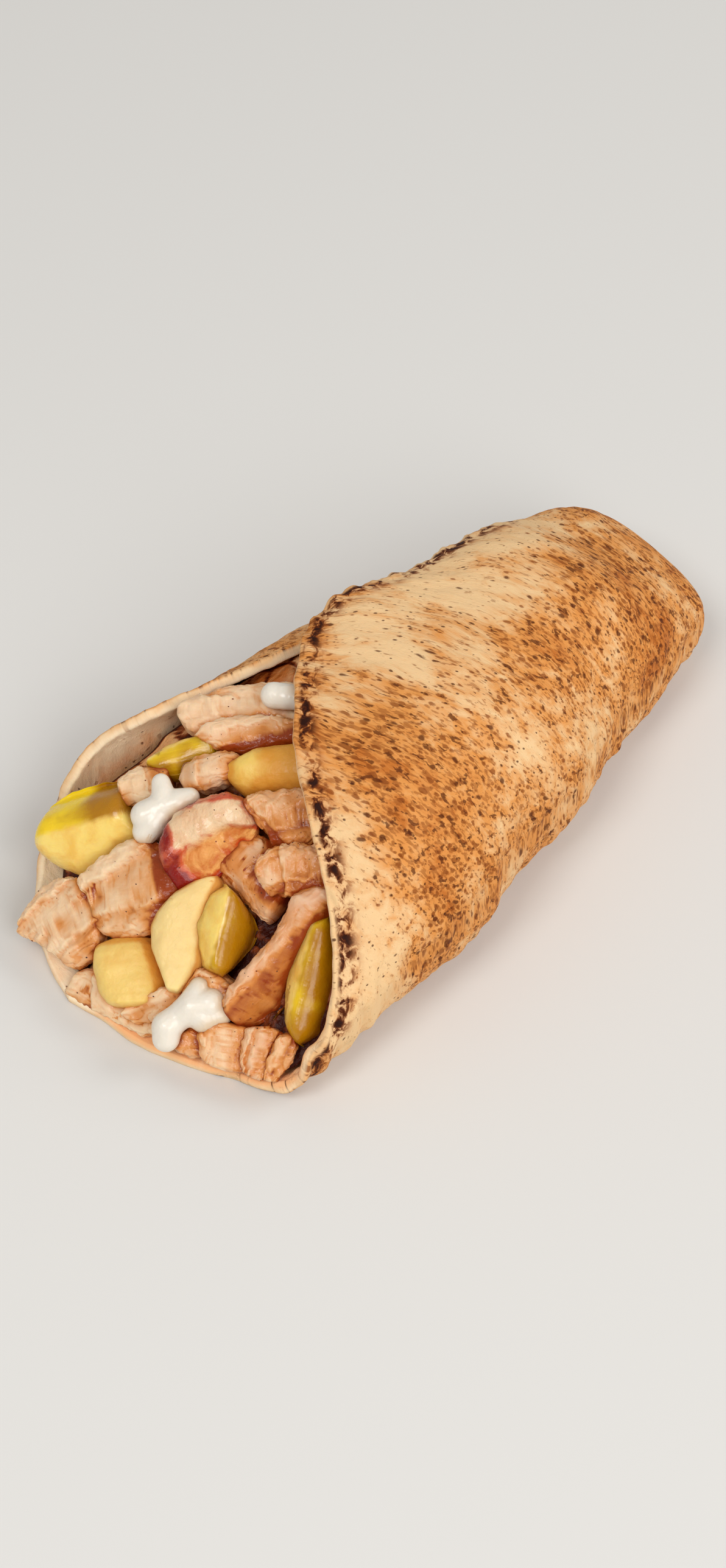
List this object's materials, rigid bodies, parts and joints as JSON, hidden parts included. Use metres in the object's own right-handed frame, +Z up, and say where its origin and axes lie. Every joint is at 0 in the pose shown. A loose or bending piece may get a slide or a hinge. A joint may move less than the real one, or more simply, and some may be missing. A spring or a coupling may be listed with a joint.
{
  "type": "shawarma wrap",
  "caption": "Rolled flatbread wrap lying on its side, one end folded shut, the open end heaped with chicken, potato, pickle and white garlic sauce.",
  "frame": {"origin": "centre of the underside of the whole wrap's box", "axes": "+X along the wrap towards its folded end, +Y to the back, +Z up from the surface it lies on"},
  "size_m": [0.1982, 0.1023, 0.0571],
  "materials": {
    "bread": "toasted flatbread, cream to golden brown with char spots, matte",
    "filling": "shredded chicken bound in dark red-brown sauce, moist",
    "chicken": "cooked chicken, pale tan to pinkish, moist",
    "glazed_chicken": "chicken with a sticky dark red and orange glaze",
    "pickle": "pickled cucumber, yellow-green and wet",
    "potato": "boiled yellow potato, satin",
    "sauce": "thick white garlic sauce, smooth"
  },
  "bodies": {
    "root": {"bread": "bread", "filling_core": "filling", "chicken_floor": "chicken", "chicken_tip": "chicken", "chicken_dark": "chicken", "chicken_strip": "chicken", "chicken_under_sauce": "chicken", "chicken_low_right": "chicken", "chicken_low_mid": "chicken", "chicken_low_left": "chicken", "chicken_slab": "chicken", "chicken_slab_low": "chicken", "chicken_bit_left": "chicken", "chicken_bit_back": "chicken", "chicken_torn_high": "chicken", "chicken_mid": "chicken", "chicken_torn_low": "chicken", "chicken_ridge": "chicken", "chicken_fold": "chicken", "chicken_glazed": "glazed_chicken", "pickle_back": "pickle", "pickle_right": "pickle", "pickle_left": "pickle", "pickle_mid": "pickle", "potato_back": "potato", "potato_low": "potato", "potato_mid": "potato", "sauce_back": "sauce", "sauce_mid": "sauce", "sauce_low": "sauce"}
  },
  "joints": []
}
